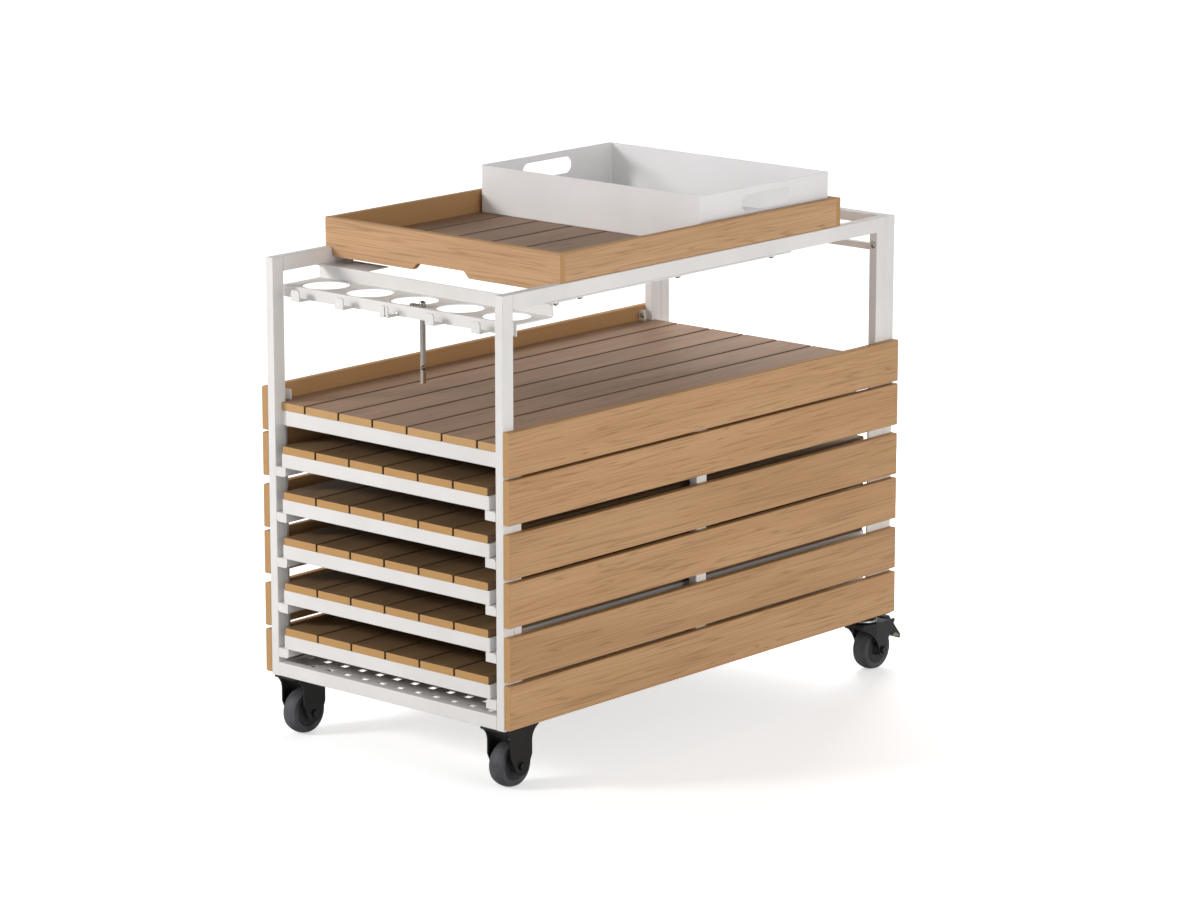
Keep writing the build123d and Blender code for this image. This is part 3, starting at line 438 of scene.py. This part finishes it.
def addLeaf(flank, side, label):
    low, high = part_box(f"far_{flank}_pedal")
    inner = (low[1] + high[1]) / 2 + side * leaf["cheekMm"] / mmPerM
    outer = inner + side * leaf["proudMm"] / mmPerM

    def build(shape):
        rims = [[shape.verts.new((high[0] + x / mmPerM, y, low[2] + z / mmPerM)) for x, z in leaf["outlineMm"]]
                for y in (inner, outer)]
        for rim in rims:
            shape.faces.new(rim)
        bridge(shape, *rims)

    addPiece(f"far_{flank}_leaf{label}", build, leafFinish, f"far_{flank}_brake")


for flank in flanks:
    for side, label in sides:
        addLeaf(flank, side, label)
print("bar cart: wheel faces and release leaves")

# Camera at the photograph's angle, from the fit of the frame's corners and the wheels
camera = {
    "at": (-6.0417, -5.3136, 2.2940),
    "azimuth": -48.677,
    "elevation": 12.764,
    "lensMm": 134.92,
    "sensorMm": 36.0,
    "clip": (0.1, 60.0),
}
lens = bpy.data.cameras.new("photoCamera")
lens.sensor_fit = "HORIZONTAL"
lens.sensor_width = camera["sensorMm"]
lens.lens = camera["lensMm"]
lens.clip_start, lens.clip_end = camera["clip"]
photoCamera = bpy.data.objects.new("photoCamera", lens)
photoCamera.location = camera["at"]
photoCamera.rotation_euler = (radians(90 - camera["elevation"]), 0.0, radians(camera["azimuth"]))
bpy.context.scene.collection.objects.link(photoCamera)
bpy.context.scene.camera = photoCamera

# Studio: pale floor that keeps the shadow, white world behind, soft lamps
studio = {
    "floorSize": 24.0,
    "floorColor": "#EDEDED",
    "floorLift": 0.50,         # share of plain white that the camera sees in the floor
    "floorFade": (1.3, 3.6),   # from the middle: here the share grows to the whole
    "horizonLevel": 0.88,      # the sky is brightest low down and dimmer overhead
    "zenithLevel": 0.18,
    "skySpan": (0.0, 0.9),
    "white": (1, 1, 1, 1),
    "lamps": [
        # name, place, target, size, watts, seen in reflections
        ("keySoftbox", (-3.7, 2.15, 2.15), (0.0, 0.0, 0.6), 0.9, 91.0, True),
        ("sideSoftbox", (-0.4, -3.8, 0.95), (0.0, 0.0, 0.5), 1.7, 44.0, True),
        ("farSoftbox", (1.9, 0.9, 1.25), (0.2, -0.1, 0.6), 1.2, 42.0, False),
    ],
}
half = studio["floorSize"] / 2
floorMesh = bpy.data.meshes.new("studioFloor")
floorMesh.from_pydata([(-half, -half, 0), (half, -half, 0), (half, half, 0), (-half, half, 0)], [], [(0, 1, 2, 3)])
studioFloor = bpy.data.objects.new("studioFloor", floorMesh)
bpy.context.scene.collection.objects.link(studioFloor)

# Matt paper that the lamps shade, with white added for the camera alone, so that only the shadow stays grey
floorPaper, floorTree = startMaterial("studioFloorPaper")
paper = addNode(floorTree, "ShaderNodeBsdfDiffuse", {"Color": linearFromHex(studio["floorColor"])})
floorPlace = addNode(floorTree, "ShaderNodeTexCoord").outputs["Object"]
outwards = addNode(floorTree, "ShaderNodeVectorMath", {0: floorPlace}, operation="LENGTH")
fade = addNode(
    floorTree, "ShaderNodeMapRange",
    stretch(outwards.outputs["Value"], studio["floorFade"], (studio["floorLift"], 1.0)),
    interpolation_type="SMOOTHSTEP")
lift = addNode(floorTree, "ShaderNodeEmission", {"Color": studio["white"], "Strength": fade.outputs["Result"]})
unlit = addNode(floorTree, "ShaderNodeEmission", {"Strength": 0.0})
floorRays = addNode(floorTree, "ShaderNodeLightPath")
seen = addNode(floorTree, "ShaderNodeMixShader", {
    0: floorRays.outputs["Is Camera Ray"], 1: unlit.outputs[0], 2: lift.outputs[0]})
both = addNode(floorTree, "ShaderNodeAddShader", {0: paper.outputs[0], 1: seen.outputs[0]})
addNode(floorTree, "ShaderNodeOutputMaterial", {"Surface": both.outputs[0]})
floorMesh.materials.append(floorPaper)

# The camera sees plain white, and the cart is lit by a sky that dims upwards
world = bpy.data.worlds.new("studioWorld")
world.use_nodes = True
bpy.context.scene.world = world
skyTree = world.node_tree
skyTree.nodes.clear()
skyPlace = addNode(skyTree, "ShaderNodeTexCoord").outputs["Generated"]
height = addNode(skyTree, "ShaderNodeSeparateXYZ", {0: skyPlace}).outputs["Z"]
skyLevel = addNode(skyTree, "ShaderNodeMapRange", stretch(
    height, studio["skySpan"], (studio["horizonLevel"], studio["zenithLevel"])))
ambient = addNode(skyTree, "ShaderNodeBackground", {
    "Color": studio["white"], "Strength": skyLevel.outputs["Result"]})
plainWhite = addNode(skyTree, "ShaderNodeBackground", {"Color": studio["white"], "Strength": 1.0})
skyRays = addNode(skyTree, "ShaderNodeLightPath")
sky = addNode(skyTree, "ShaderNodeMixShader", {
    0: skyRays.outputs["Is Camera Ray"], 1: ambient.outputs[0], 2: plainWhite.outputs[0]})
addNode(skyTree, "ShaderNodeOutputWorld", {"Surface": sky.outputs[0]})

for name, place, target, size, watts, gleam in studio["lamps"]:
    lamp = bpy.data.lights.new(name, "AREA")
    lamp.shape = "SQUARE"
    lamp.size = size
    lamp.energy = watts
    lampObject = bpy.data.objects.new(name, lamp)
    lampObject.location = place
    lampObject.visible_glossy = gleam
    lampObject.visible_camera = False
    lampObject.rotation_euler = (Vector(place) - Vector(target)).to_track_quat("Z", "Y").to_euler()
    bpy.context.scene.collection.objects.link(lampObject)
bpy.context.scene.view_settings.view_transform = "Standard"
print("bar cart: camera, floor and lamps")
